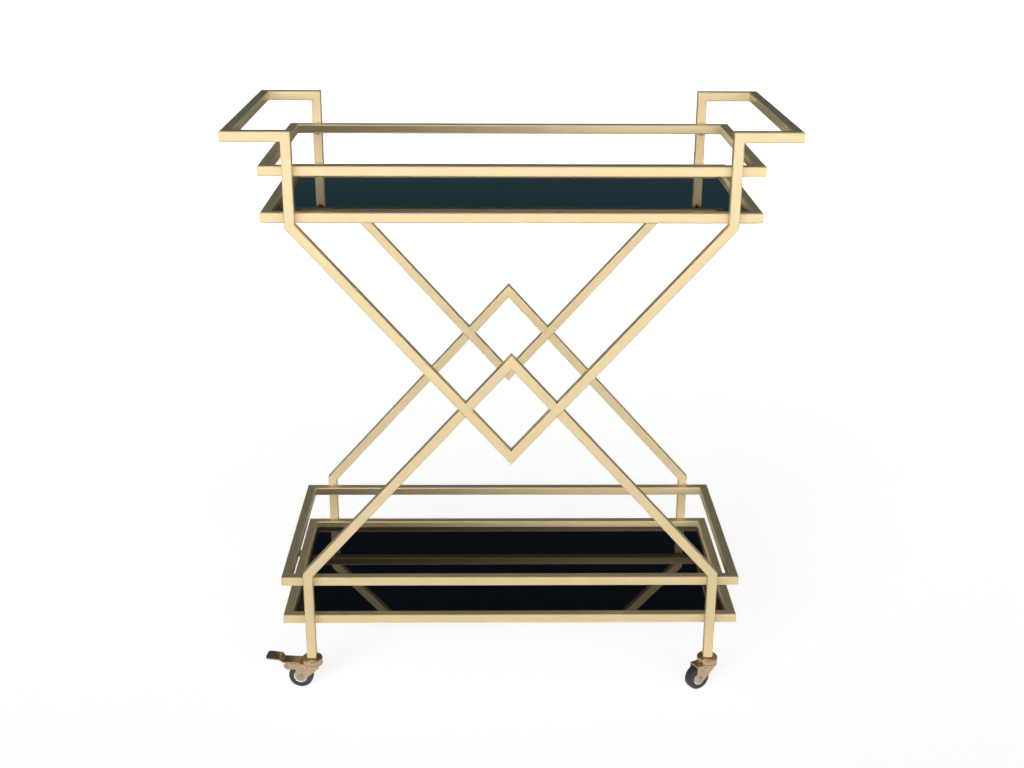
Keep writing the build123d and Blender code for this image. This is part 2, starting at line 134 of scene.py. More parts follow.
# %% World
# Each list goes by the height of the direction: 0 is level, 1 is straight up.
ROOM_IN_FRONT = [
    (0.00, 11.0),
    (0.10, 11.0),
    (0.16, 3.2),
    (0.24, 0.8),
    (0.46, 0.35),
    (0.53, (0.14, 0.14, 0.15)),
    (0.70, 0.09),
    (1.00, 0.07),
]
ROOM_IN_FRONT_MIRRORED = [
    (0.00, 0.50),
    (0.10, 0.40),
    (0.25, (0.26, 0.27, 0.28)),
    (0.46, (0.15, 0.16, 0.17)),
    (0.60, 0.10),
    (1.00, 0.10),
]
ROOM_BEHIND = [
    (0.00, 0.020),
    (0.08, (0.030, 0.033, 0.033)),
    (0.16, (0.085, 0.100, 0.110)),
    (0.24, (0.020, 0.085, 0.105)),
    (0.36, (0.022, 0.070, 0.085)),
    (0.46, (0.020, 0.026, 0.040)),
    (1.00, 0.050),
]
# The front takes over where a direction's Y goes from the first of these to the second.
FRONT_STARTS = -0.45
FRONT_FULL = -0.80


def studio_world():
    """White to the camera. To the cart, a lit screen in front and a dark room elsewhere."""
    world = bpy.data.worlds.new("studio")
    world.use_nodes = True
    tree = world.node_tree
    tree.nodes.clear()
    out = node(tree, "ShaderNodeOutputWorld")
    direction = node(tree, "ShaderNodeTexCoord")
    split = node(tree, "ShaderNodeSeparateXYZ")
    forward = node(tree, "ShaderNodeMapRange", interpolation_type="SMOOTHSTEP")
    forward.inputs["From Min"].default_value = FRONT_STARTS
    forward.inputs["From Max"].default_value = FRONT_FULL
    screen = ramp_of(tree, ROOM_IN_FRONT)
    mirrored = ramp_of(tree, ROOM_IN_FRONT_MIRRORED)
    behind = ramp_of(tree, ROOM_BEHIND)
    rays = node(tree, "ShaderNodeLightPath")
    front = node(tree, "ShaderNodeMix", data_type="RGBA")
    room_colour = node(tree, "ShaderNodeMix", data_type="RGBA")
    link(tree, direction.outputs["Generated"], split.inputs[0])
    link(tree, split.outputs["Y"], forward.inputs["Value"])
    for ramp in (screen, mirrored, behind):
        link(tree, split.outputs["Z"], ramp.inputs["Fac"])
    link(tree, rays.outputs["Is Glossy Ray"], front.inputs[0])
    link(tree, screen.outputs["Color"], front.inputs[6])
    link(tree, mirrored.outputs["Color"], front.inputs[7])
    link(tree, forward.outputs["Result"], room_colour.inputs[0])
    link(tree, behind.outputs["Color"], room_colour.inputs[6])
    link(tree, front.outputs[2], room_colour.inputs[7])

    room = node(tree, "ShaderNodeBackground", Strength=1.0)
    white = node(tree, "ShaderNodeBackground", Color=(1.0, 1.0, 1.0, 1.0), Strength=1.0)
    choice = node(tree, "ShaderNodeMixShader")
    link(tree, room_colour.outputs[2], room.inputs["Color"])
    link(tree, rays.outputs["Is Camera Ray"], choice.inputs[0])
    link(tree, room.outputs[0], choice.inputs[1])
    link(tree, white.outputs[0], choice.inputs[2])
    link(tree, choice.outputs[0], out.inputs["Surface"])
    return world


bpy.context.scene.world = studio_world()
bpy.context.scene.view_settings.view_transform = "Standard"
print("light level in front:", ROOM_IN_FRONT[0][1], "behind:", ROOM_BEHIND[0][1])

# %% [markdown]
# ## The floor
# The floor is matt and pale, and keeps the cart's shadow. To the camera it gets some glow, so
# that it reads as a white background. A white floor in reflections would make every tube equally
# bright. So in reflections the floor is a painted reflection instead: a glow of painted levels,
# brightest far in front, which the upper tubes mirror, dimmer towards the cart as painted shade,
# which the lower tubes mirror, a painted highlight right at the wheels for the casters, and dim
# behind.

# %% Floor
FLOOR_REACH = 60.0
FLOOR_TINT = 0.82
FLOOR_GLOW = 0.74
SWEEP_HALF = 6.0
# Levels of the painted glow that mirrors see, by the place along Y in metres. The cart stands between -0.2 and
# 0.2.
PAINTED_FLOOR_IN_MIRRORS = [
    (-5.2, 0.88),
    (-4.2, 1.02),
    (-3.3, 0.93),
    (-1.3, 0.34),
    (-0.5, 0.08),
    (-0.36, 0.06),
    (-0.29, 0.44),
    (-0.2, 0.46),
    (0.4, 0.24),
    (1.2, 0.12),
    (2.4, 0.06),
    (6.0, 0.03),
]


def floor_material():
    """A pale matt floor: white background to the camera, a painted glow as its reflection in mirrors."""
    material = bpy.data.materials.new("floor_white")
    material.use_nodes = True
    tree = material.node_tree
    tree.nodes.clear()
    out = node(tree, "ShaderNodeOutputMaterial")
    tint = (FLOOR_TINT, FLOOR_TINT, FLOOR_TINT, 1.0)
    matt = node(tree, "ShaderNodeBsdfDiffuse", Color=tint, Roughness=1.0)
    glow = node(tree, "ShaderNodeEmission", Color=(1.0, 1.0, 1.0, 1.0))
    rays = node(tree, "ShaderNodeLightPath")
    strength = node(tree, "ShaderNodeMath", operation="MULTIPLY")
    strength.inputs[1].default_value = FLOOR_GLOW
    total = node(tree, "ShaderNodeAddShader")
    link(tree, rays.outputs["Is Camera Ray"], strength.inputs[0])
    link(tree, strength.outputs[0], glow.inputs["Strength"])
    link(tree, matt.outputs[0], total.inputs[0])
    link(tree, glow.outputs[0], total.inputs[1])

    # The painted reflection: glossy and transmission rays see the floor as a glow of painted levels along Y, with
    # painted shade just before the cart and a painted highlight at the wheels.
    place = node(tree, "ShaderNodeTexCoord")
    split = node(tree, "ShaderNodeSeparateXYZ")
    along = node(tree, "ShaderNodeMapRange")
    along.inputs["From Min"].default_value = -SWEEP_HALF
    along.inputs["From Max"].default_value = SWEEP_HALF
    places = [(y + SWEEP_HALF) / (2 * SWEEP_HALF) for y, _ in PAINTED_FLOOR_IN_MIRRORS]
    levels = [level for _, level in PAINTED_FLOOR_IN_MIRRORS]
    sweep = ramp_of(tree, list(zip(places, levels)))
    mirrored = node(tree, "ShaderNodeEmission", Strength=1.0)
    link(tree, place.outputs["Object"], split.inputs[0])
    link(tree, split.outputs["Y"], along.inputs["Value"])
    link(tree, along.outputs["Result"], sweep.inputs["Fac"])
    link(tree, sweep.outputs["Color"], mirrored.inputs["Color"])

    reflected = node(tree, "ShaderNodeMath", operation="MAXIMUM")
    choice = node(tree, "ShaderNodeMixShader")
    link(tree, rays.outputs["Is Glossy Ray"], reflected.inputs[0])
    link(tree, rays.outputs["Is Transmission Ray"], reflected.inputs[1])
    link(tree, reflected.outputs[0], choice.inputs[0])
    link(tree, total.outputs[0], choice.inputs[1])
    link(tree, mirrored.outputs[0], choice.inputs[2])
    link(tree, choice.outputs[0], out.inputs["Surface"])
    return material


floor_mesh = bpy.data.meshes.new("floor")
floor_corners = [(x, y, 0.0) for x, y in ((-1, -1), (1, -1), (1, 1), (-1, 1))]
floor_mesh.from_pydata([Vector(c) * FLOOR_REACH for c in floor_corners], [], [(0, 1, 2, 3)])
floor_mesh.materials.append(floor_material())
floor = bpy.data.objects.new("floor", floor_mesh)
bpy.context.scene.collection.objects.link(floor)
print("floor:", 2 * FLOOR_REACH, "m wide")

# %% [markdown]
# ## The lamps
# One broad softbox stands in front on the left. It gives the tubes their soft sheen, and lays the
# faint shadow of each post on the rail behind it. A low fill behind the cart keeps its back
# readable. It isn't seen in mirrors, because the black panes would show it as a white bar.

# %% Softboxes
SOFTBOX_PLACE = Vector((-2.3, -3.7, 1.9))
SOFTBOX_SIZE = (1.8, 1.8)
SOFTBOX_POWER = 18.0
FILL_PLACE = Vector((0.3, 4.0, 0.45))
FILL_SIZE = (3.0, 0.8)
FILL_POWER = 75.0
LAMP_TARGET = Vector((0.0, 0.0, 0.45))


def softbox(name, place, size, power, in_mirrors=True):
    """A broad lamp that is aimed at the middle of the cart and that the camera doesn't see."""
    data = bpy.data.lights.new(name, "AREA")
    data.shape = "RECTANGLE"
    data.size, data.size_y = size
    data.energy = power
    lamp = bpy.data.objects.new(name, data)
    aim = (LAMP_TARGET - place).to_track_quat("-Z", "Y").to_matrix().to_4x4()
    lamp.matrix_world = Matrix.Translation(place) @ aim
    lamp.visible_camera = False
    lamp.visible_glossy = in_mirrors
    bpy.context.scene.collection.objects.link(lamp)


softbox("front_softbox", SOFTBOX_PLACE, SOFTBOX_SIZE, SOFTBOX_POWER)
softbox("back_fill", FILL_PLACE, FILL_SIZE, FILL_POWER, in_mirrors=False)
print("lamps:", SOFTBOX_POWER, "W in front,", FILL_POWER, "W behind")

# %% [markdown]
# ## Finishes
# Every finish is a node material on Object coordinates. A plated or lacquered metal is never one
# flat value: the film flows a little, so its gloss and colour drift over centimetres, and it has
# a fine texture like orange peel. A picture could give that, but here both come from noise of
# true size, so they look the same on every piece.

# %% Finish helper
DRIFT_PER_METRE = 40.0
DRIFT_ENDS = (0.3, 0.7)
PEEL_PER_METRE = 1500.0
PEEL_DEPTH = 0.0005


def finish(name, base, roughness, metallic=0.0, ior=1.5, drift=0.06, rough_drift=0.04, peel=0.02):
    """Principled material whose colour and gloss drift, with a fine surface texture."""
    material = bpy.data.materials.new(name)
    material.use_nodes = True
    tree = material.node_tree
    shader = tree.nodes["Principled BSDF"]
    place = node(tree, "ShaderNodeTexCoord")
    broad = node(tree, "ShaderNodeTexNoise", Scale=DRIFT_PER_METRE, Detail=3.0)
    darker = tuple(c * (1.0 - drift) for c in base)
    lighter = tuple(min(1.0, c * (1.0 + drift)) for c in base)
    colour = ramp_of(tree, list(zip(DRIFT_ENDS, (darker, lighter))))
    gloss = node(tree, "ShaderNodeMapRange")
    gloss.inputs["To Min"].default_value = roughness - rough_drift
    gloss.inputs["To Max"].default_value = roughness + rough_drift
    fine = node(tree, "ShaderNodeTexNoise", Scale=PEEL_PER_METRE, Detail=2.0)
    bump = node(tree, "ShaderNodeBump", Strength=peel, Distance=PEEL_DEPTH)
    link(tree, place.outputs["Object"], broad.inputs["Vector"])
    link(tree, place.outputs["Object"], fine.inputs["Vector"])
    link(tree, broad.outputs["Fac"], colour.inputs["Fac"])
    link(tree, broad.outputs["Fac"], gloss.inputs["Value"])
    link(tree, colour.outputs["Color"], shader.inputs["Base Color"])
    link(tree, gloss.outputs["Result"], shader.inputs["Roughness"])
    link(tree, fine.outputs["Fac"], bump.inputs["Height"])
    link(tree, bump.outputs["Normal"], shader.inputs["Normal"])
    shader.inputs["Metallic"].default_value = metallic
    shader.inputs["IOR"].default_value = ior
    return material


# %% [markdown]
# The frame's lacquer is mostly pigment with a little metal flake, so it is a quarter metallic: a
# pure metal would turn black wherever the room is dark. The casters are really plated, so they
# are nearly all metal, redder, and glossier. The glass is black and sharp, with a high index,
# which stands for the strong mirror of a pane seen at a low angle. Rubber and moulded plastic are
# matt to satin.

# %% The finishes
finishes = {
    "frame_gold": finish("light_gold_lacquer", (0.93, 0.735, 0.42), 0.22, metallic=0.25,
                         drift=0.02, rough_drift=0.02, peel=0.01),
    "caster_gold": finish("copper_gold_plate", (0.97, 0.71, 0.45), 0.16, metallic=0.86, drift=0.05),
    "black_glass": finish("black_glass", (0.001, 0.003, 0.004), 0.02, ior=1.7,
                          drift=0.0, rough_drift=0.01, peel=0.0),
    "clear_pad": finish("clear_bumper", (0.75, 0.75, 0.72), 0.25),
    "hub_plastic": finish("pale_hub_plastic", (0.80, 0.78, 0.73), 0.40),
    "tyre_rubber": finish("dark_grey_rubber", (0.055, 0.055, 0.058), 0.34, drift=0.12),
    "zinc_steel": finish("yellow_zinc_plate", (0.82, 0.68, 0.50), 0.28, metallic=0.9),
    "ball_steel": finish("polished_ball_steel", (0.72, 0.72, 0.73), 0.08, metallic=1.0),
}
print("finishes:", len(finishes))

# %% Give each CAD node its finish
record = frame["record"]
slot_of = {part["node"]: part["material_slot"] for part in record["subparts"]}
body_of = {name: body for body, names in record["behaviour"]["bodies"].items() for name in names}
for name, slot in slot_of.items():
    nodes[name].data.materials.clear()
    nodes[name].data.materials.append(finishes[slot])
print("CAD nodes with a finish:", len(slot_of))

# %% [markdown]
# ## Soft shading for tube and pressed steel
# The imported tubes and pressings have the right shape, but as loose triangles each facet of a
# rounded corner would shine by itself. They could be modelled again, but a copy can't go out of
# step with the frame. So each is copied, its points are merged, and its faces are shaded smooth
# with weighted normals: the broad flats keep one direction, and the light rolls round the
# corners.

# %% Polished copies
MERGE_DISTANCE = 2e-6
SMOOTH_BELOW = radians(50)
FULL_WEIGHT = 100


def plain_mesh(piece):
    """Swaps a piece's mesh for what its modifiers make of it, and takes them off."""
    graph = bpy.context.evaluated_depsgraph_get()
    made = bpy.data.meshes.new_from_object(piece.evaluated_get(graph))
    piece.modifiers.clear()
    piece.data = made
    return piece


def new_piece(name, mesh, finish_slot):
    """An object with the given new mesh and finish."""
    piece = bpy.data.objects.new(name, mesh)
    bpy.context.scene.collection.objects.link(piece)
    mesh.materials.append(finishes[finish_slot])
    return piece


def merged_copy(name):
    """A bmesh of a CAD node with its doubled points merged."""
    work = bmesh.new()
    work.from_mesh(nodes[name].data)
    bmesh.ops.remove_doubles(work, verts=work.verts, dist=MERGE_DISTANCE)
    bmesh.ops.dissolve_degenerate(work, edges=work.edges, dist=MERGE_DISTANCE)
    return work


def polished(name, work, bevel=0.0, limit="ANGLE", segments=2):
    """The piece for a CAD node: softened edges, and normals that follow the broad faces."""
    mesh = bpy.data.meshes.new(name + "_polished")
    work.to_mesh(mesh)
    work.free()
    piece = new_piece(name + "_polished", mesh, slot_of[name])
    mesh.shade_smooth()
    mesh.set_sharp_from_angle(angle=SMOOTH_BELOW)
    if bevel:
        soften = piece.modifiers.new("soften", "BEVEL")
        soften.width = bevel
        soften.segments = segments
        soften.limit_method = limit
        soften.angle_limit = SMOOTH_BELOW
        soften.harden_normals = True
    weigh = piece.modifiers.new("weigh", "WEIGHTED_NORMAL")
    weigh.keep_sharp = True
    weigh.weight = FULL_WEIGHT
    plain_mesh(piece)
    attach(piece, body_of[name])
    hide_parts(name)
    return piece


gold_nodes = [name for name, slot in slot_of.items() if slot == "frame_gold"]
plain_nodes = [name for name in gold_nodes if name != "weld_beads"] + ["lower_glass", "upper_glass"]
for name in plain_nodes:
    polished(name, merged_copy(name))
print("tubes, flat bars and panes polished:", len(plain_nodes))

# %% [markdown]
# ## Node trees that repeat a small shape
# Welds, bumpers, bearing balls and ribs are many copies of one small shape. Loops in Python could
# place them, but Geometry Nodes keep the rule in one tree: it takes points or edges, and its
# named inputs are the sizes. The helpers below make a tree with those inputs, end it, and run it
# on a piece so that a plain mesh is kept.

# %% Tree helpers
def modifier_tree(name, sizes):
    """A Geometry Nodes tree with named number inputs. Gives the tree and its two end nodes."""
    tree = bpy.data.node_groups.new(name, "GeometryNodeTree")
    tree.interface.new_socket("Geometry", in_out="INPUT", socket_type="NodeSocketGeometry")
    for label, value in sizes.items():
        kind = "NodeSocketInt" if isinstance(value, int) else "NodeSocketFloat"
        socket = tree.interface.new_socket(label, in_out="INPUT", socket_type=kind)
        socket.default_value = value
    tree.interface.new_socket("Geometry", in_out="OUTPUT", socket_type="NodeSocketGeometry")
    return tree, node(tree, "NodeGroupInput"), node(tree, "NodeGroupOutput")


def end_tree(tree, instances, result, material):
    """Realize Instances, smooth shading and Set Material, then out."""
    real = node(tree, "GeometryNodeRealizeInstances")
    smooth = node(tree, "GeometryNodeSetShadeSmooth")
    coat = node(tree, "GeometryNodeSetMaterial", Material=material)
    link(tree, instances, real.inputs[0])
    link(tree, real.outputs[0], smooth.inputs[0])
    link(tree, smooth.outputs[0], coat.inputs[0])
    link(tree, coat.outputs[0], result.inputs[0])


def run_tree(piece, tree, **sizes):
    """Runs a tree on a piece with sizes by input name, and keeps the result as a plain mesh."""
    modifier = piece.modifiers.new(tree.name, "NODES")
    modifier.node_group = tree
    inputs = [item for item in tree.interface.items_tree if item.in_out == "INPUT"]
    identifiers = {item.name: item.identifier for item in inputs}
    for label, value in sizes.items():
        modifier[identifiers[label]] = value
    return plain_mesh(piece)


def mesh_of(name, points, edges=()):
    """A mesh of points and edges, for a tree to start from."""
    mesh = bpy.data.meshes.new(name)
    mesh.from_pydata(points, edges, [])
    return mesh


# %% [markdown]
# ## Weld beads
# Where a rail crosses a post, the frame is joined by a short fillet weld. A hand-held torch lays
# it as overlapping drops. A flat wedge would look like putty, so each weld is one edge, and the
# tree sets a flattened drop at every step along it, each a little larger or smaller than the
# last.

# %% Weld beads by Geometry Nodes
WELD_RADIUS = 0.0021
WELD_STEP = 0.0010
WELD_HALF = 0.0062
WELD_UNEVENNESS = 0.07
WELD_SEED = 11
DROP_THICKNESS = 0.55
POST_NAMES = ("front_left", "front_right", "back_left", "back_right")
RAIL_RINGS = ("lower_shelf_frame", "lower_guard_rail", "upper_shelf_frame", "upper_guard_rail")


def weld_tree():
    """A flattened drop at every step along each edge, of uneven size."""
    sizes = {"Radius": 0.002, "Step": 0.001, "Unevenness": 0.1, "Seed": 7}
    tree, given, result = modifier_tree("weld_drops", sizes)
    line = node(tree, "GeometryNodeMeshToCurve")
    spaced = node(tree, "GeometryNodeResampleCurve", mode="LENGTH")
    drop = node(tree, "GeometryNodeMeshUVSphere", Segments=10, Rings=6)
    along = node(tree, "GeometryNodeInputTangent")
    turned = node(tree, "FunctionNodeAlignRotationToVector", axis="Z")
    least = node(tree, "ShaderNodeMath", operation="SUBTRACT")
    most = node(tree, "ShaderNodeMath", operation="ADD")
    uneven = node(tree, "FunctionNodeRandomValue", data_type="FLOAT")
    flat = node(tree, "ShaderNodeMath", operation="MULTIPLY")
    size = node(tree, "ShaderNodeCombineXYZ")
    copies = node(tree, "GeometryNodeInstanceOnPoints")
    least.inputs[0].default_value = most.inputs[0].default_value = 1.0
    flat.inputs[1].default_value = DROP_THICKNESS
    link(tree, given.outputs["Geometry"], line.inputs[0])
    link(tree, line.outputs[0], spaced.inputs["Curve"])
    link(tree, given.outputs["Step"], spaced.inputs["Length"])
    link(tree, given.outputs["Radius"], drop.inputs["Radius"])
    link(tree, along.outputs[0], turned.inputs["Vector"])
    link(tree, given.outputs["Unevenness"], least.inputs[1])
    link(tree, given.outputs["Unevenness"], most.inputs[1])
    link(tree, least.outputs[0], uneven.inputs[2])
    link(tree, most.outputs[0], uneven.inputs[3])
    link(tree, given.outputs["Seed"], uneven.inputs["Seed"])
    link(tree, uneven.outputs[1], size.inputs["X"])
    link(tree, uneven.outputs[1], size.inputs["Y"])
    link(tree, uneven.outputs[1], flat.inputs[0])
    link(tree, flat.outputs[0], size.inputs["Z"])
    link(tree, spaced.outputs[0], copies.inputs["Points"])
    link(tree, drop.outputs["Mesh"], copies.inputs["Instance"])
    link(tree, turned.outputs[0], copies.inputs["Rotation"])
    link(tree, size.outputs[0], copies.inputs["Scale"])
    end_tree(tree, copies.outputs[0], result, finishes["frame_gold"])
    return tree


def post_centre(name):
    """X and Y of the middle of a leg and of its caster's stem."""
    low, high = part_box(f"{name}_leg")
    return (low[0] + high[0]) / 2, (low[1] + high[1]) / 2


def weld_lines():
    """One edge per weld, above and below each rail. The vents under the top one stay clear."""
    points, edges = [], []
    for ring in RAIL_RINGS:
        low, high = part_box(ring)
        heights = (high[2],) if ring == "upper_guard_rail" else (high[2], low[2])
        for name in POST_NAMES:
            x, y = post_centre(name)
            face = high[1] if y > 0 else low[1]
            for z in heights:
                edges.append((len(points), len(points) + 1))
                points += [(x - WELD_HALF, face, z), (x + WELD_HALF, face, z)]
    return mesh_of("weld_lines", points, edges)


welds = new_piece("weld_drops", weld_lines(), "frame_gold")
weld_count = len(welds.data.edges)
run_tree(welds, weld_tree(), Radius=WELD_RADIUS, Step=WELD_STEP,
         Unevenness=WELD_UNEVENNESS, Seed=WELD_SEED)
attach(welds, "root")
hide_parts("weld_beads")
print("welds:", weld_count, "faces:", len(welds.data.polygons))

# %% [markdown]
# ## Bumpers and bearing balls
# The panes rest on small clear domes, and each caster turns on a ring of steel balls. Both are
# one round shape repeated, so one tree serves both: round each given point it places others by
# their index, on a circle, and sets a ball on each, flattened as asked. A circle of no radius is
# the point itself.

# %% Rounds by Geometry Nodes
def rounds_tree(material):
    """Balls, flattened as asked, on a circle round each given point."""
    sizes = {"Places": 1, "Circle": 0.0, "Radius": 0.002, "Height": 0.002}
    tree, given, result = modifier_tree("rounds", sizes)
    index = node(tree, "GeometryNodeInputIndex")
    share = node(tree, "ShaderNodeMath", operation="DIVIDE")
    angle = node(tree, "ShaderNodeMath", operation="MULTIPLY")
    across = node(tree, "ShaderNodeMath", operation="COSINE")
    along = node(tree, "ShaderNodeMath", operation="SINE")
    heading = node(tree, "ShaderNodeCombineXYZ")
    spot = node(tree, "ShaderNodeVectorMath", operation="SCALE")
    places = node(tree, "GeometryNodePoints")
    rings = node(tree, "GeometryNodeInstanceOnPoints")
    spread = node(tree, "GeometryNodeRealizeInstances")
    ball = node(tree, "GeometryNodeMeshUVSphere", Segments=16, Rings=10, Radius=1.0)
    size = node(tree, "ShaderNodeCombineXYZ")
    copies = node(tree, "GeometryNodeInstanceOnPoints")
    angle.inputs[1].default_value = 2 * pi
    link(tree, index.outputs[0], share.inputs[0])
    link(tree, given.outputs["Places"], share.inputs[1])
    link(tree, share.outputs[0], angle.inputs[0])
    link(tree, angle.outputs[0], across.inputs[0])
    link(tree, angle.outputs[0], along.inputs[0])
    link(tree, across.outputs[0], heading.inputs["X"])
    link(tree, along.outputs[0], heading.inputs["Y"])
    link(tree, heading.outputs[0], spot.inputs[0])
    link(tree, given.outputs["Circle"], spot.inputs["Scale"])
    link(tree, given.outputs["Places"], places.inputs["Count"])
    link(tree, spot.outputs[0], places.inputs["Position"])
    link(tree, given.outputs["Geometry"], rings.inputs["Points"])
    link(tree, places.outputs[0], rings.inputs["Instance"])
    link(tree, rings.outputs[0], spread.inputs[0])
    link(tree, given.outputs["Radius"], size.inputs["X"])
    link(tree, given.outputs["Radius"], size.inputs["Y"])
    link(tree, given.outputs["Height"], size.inputs["Z"])
    link(tree, spread.outputs[0], copies.inputs["Points"])
    link(tree, ball.outputs["Mesh"], copies.inputs["Instance"])
    link(tree, size.outputs[0], copies.inputs["Scale"])
    end_tree(tree, copies.outputs[0], result, material)
    return tree


# %% Bearing balls
BALL_COUNT = 12
BALL_CIRCLE = 0.0105

ball_low, ball_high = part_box("bearing_balls")
ball_radius = (ball_high[2] - ball_low[2]) / 2
ball_centres = [(*post_centre(name), (ball_low[2] + ball_high[2]) / 2) for name in POST_NAMES]
balls = new_piece("steel_balls", mesh_of("ball_centres", ball_centres), "ball_steel")
run_tree(balls, rounds_tree(finishes["ball_steel"]), Places=BALL_COUNT, Circle=BALL_CIRCLE,
         Radius=ball_radius, Height=ball_radius)
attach(balls, "root")
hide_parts("bearing_balls")
print("balls:", BALL_COUNT * len(POST_NAMES), "faces:", len(balls.data.polygons))

# %% Glass bumpers
BUMPER_RADIUS = 0.004
BUMPER_HEIGHT = 0.0003
BUMPER_PITCH = 0.250
BUMPER_ROWS = (-1, 0, 1)


def bumper_spots():
    """On the ledge under each pane: three along each long side and one at each end."""
    low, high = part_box("glass_bumpers")
    end_x, side_y = high[0] - BUMPER_RADIUS, high[1] - BUMPER_RADIUS
    flat = [(i * BUMPER_PITCH, hand * side_y) for i in BUMPER_ROWS for hand in (-1, 1)]
    flat += [(-end_x, 0.0), (end_x, 0.0)]
    ledge_tops = [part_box(f"{level}_glass_ledge")[1][2] for level in ("lower", "upper")]
    return [(x, y, z) for z in ledge_tops for x, y in flat]


bumpers = new_piece("clear_bumpers", mesh_of("bumper_spots", bumper_spots()), "clear_pad")
run_tree(bumpers, rounds_tree(finishes["clear_pad"]), Places=1, Circle=0.0,
         Radius=BUMPER_RADIUS, Height=BUMPER_HEIGHT)
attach(bumpers, "root")
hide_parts("glass_bumpers")
print("bumpers:", len(bumper_spots()))

# %% [markdown]
# ## Turned pieces
# Tyres, hubs, caps and rivets are all bodies of revolution. On a lathe each would be cut from its
# section, so each is drawn here as its section: a list of corners in millimetres, each with its
# radius, its height and how far it is eased. Blender's Screw modifier could turn it. A tree that
# sweeps the section round a circle does the same, and also merges the ends at the axis.

# %% Sections and the turning tree
MM = 0.001
CORNER_STEPS = 5
MOST_OF_A_SIDE = 0.45
ALMOST_NOTHING = 1e-6
TURNED_SLOTS = ("tyre_rubber", "hub_plastic", "zinc_steel", "caster_gold")


def rounded(corners):
    """The points of a section whose corners (radius, height, easing) are eased."""
    points = []
    for i, (r, h, ease) in enumerate(corners):
        here = Vector((r, h))
        before = Vector(corners[i - 1][:2]) - here
        after = Vector(corners[(i + 1) % len(corners)][:2]) - here
        if ease == 0 or before.length == 0 or after.length == 0:
            points.append((r, h))
            continue
        half = before.angle(after) / 2
        wanted = ease / max(sin(half) / cos(half), ALMOST_NOTHING)
        back = min(wanted, MOST_OF_A_SIDE * before.length, MOST_OF_A_SIDE * after.length)
        start, end = here + before.normalized() * back, here + after.normalized() * back
        for k in range(CORNER_STEPS + 1):
            t = k / CORNER_STEPS
            points.append(tuple((1 - t) ** 2 * start + 2 * t * (1 - t) * here + t ** 2 * end))
    return points


def turning_tree(material):
    """Sweeps a section round the Z axis. Circle is the radius of the path that carries it."""
    sizes = {"Circle": 0.01, "Steps": 64, "Merge": ALMOST_NOTHING}
    tree, given, result = modifier_tree("turning", sizes)
    section = node(tree, "GeometryNodeMeshToCurve")
    path = node(tree, "GeometryNodeCurvePrimitiveCircle")
    swept = node(tree, "GeometryNodeCurveToMesh")
    joined = node(tree, "GeometryNodeMergeByDistance")
    link(tree, given.outputs["Geometry"], section.inputs[0])
    link(tree, given.outputs["Steps"], path.inputs["Resolution"])
    link(tree, given.outputs["Circle"], path.inputs["Radius"])
    link(tree, path.outputs[0], swept.inputs["Curve"])
    link(tree, section.outputs[0], swept.inputs["Profile Curve"])
    link(tree, swept.outputs[0], joined.inputs[0])
    link(tree, given.outputs["Merge"], joined.inputs["Distance"])
    end_tree(tree, joined.outputs[0], result, material)
    return tree


turning_trees = {slot: turning_tree(finishes[slot]) for slot in TURNED_SLOTS}
print("turning trees:", len(turning_trees))

# %% Turned pieces and their places
def turned(name, corners, finish_slot, steps=64, ring=True):
    """A turned piece about the Z axis. A ring's section is closed, a solid's runs pole to pole."""
    points = rounded(corners)
    last = len(points) - 1
    if not ring:
        points = [corners[0][:2]] + points[1:last] + [corners[-1][:2]]
    edges = [(i, i + 1) for i in range(last)] + ([(last, 0)] if ring else [])
    circle = max(r for r, h in points) / 2
    places = [((r - circle) * MM, -h * MM, 0.0) for r, h in points]
    section = mesh_of(name + "_section", places, edges)
    piece = new_piece(name, section, finish_slot)
    run_tree(piece, turning_trees[finish_slot], Circle=circle * MM, Steps=steps)
    work = bmesh.new()
    work.from_mesh(piece.data)
    bmesh.ops.recalc_face_normals(work, faces=work.faces)
    work.to_mesh(piece.data)
    work.free()
    piece.data.set_sharp_from_angle(angle=SMOOTH_BELOW)
    return piece


def set_at(piece, matrices):
    """Puts the piece's mesh at one place or more, and leaves its object at the origin."""
    work = bmesh.new()
    for matrix in matrices:
        count = len(work.verts)
        work.from_mesh(piece.data)
        work.verts.ensure_lookup_table()
        bmesh.ops.transform(work, matrix=matrix, verts=work.verts[count:])
    work.to_mesh(piece.data)
    work.free()
    return piece


def middle_of(name):
    """The middle of a CAD node's box."""
    low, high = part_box(name)
    return Vector([(a + b) / 2 for a, b in zip(low, high)])


def axle_place(caster, centre):
    """The matrix that takes the Z axis to a caster's axle direction, at the given centre."""
    axis = next(j["axis"] for j in frame["joints"] if j["name"] == f"{caster}_wheel_roll")
    turn = Vector(axis).to_track_quat("Z", "Y").to_matrix().to_4x4()
    return Matrix.Translation(centre) @ turn


# %% [markdown]
# ## Wheels
# Each wheel is a pale moulded hub with ribs and a dark grey rubber tyre. A moulded tyre has a
# fine parting line round its tread and a shallow ring in each side wall. Both could be faked with
# bump, but they belong to the outline, so they are corners of the section. The ribs are one
# plate, which a tree sets round the axle. Wheel and axle take their place and direction from the
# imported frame.

# %% Tyres
TYRE_HALF = 8.0
TYRE_RADIUS = 20.0
HUB_RADIUS = 11.0
TYRE_STEPS = 96


def both_sides(half_section):
    """A section given for one side, from inside out, and mirrored on the other."""
    return half_section + [(r, -h, ease) for r, h, ease in reversed(half_section)]


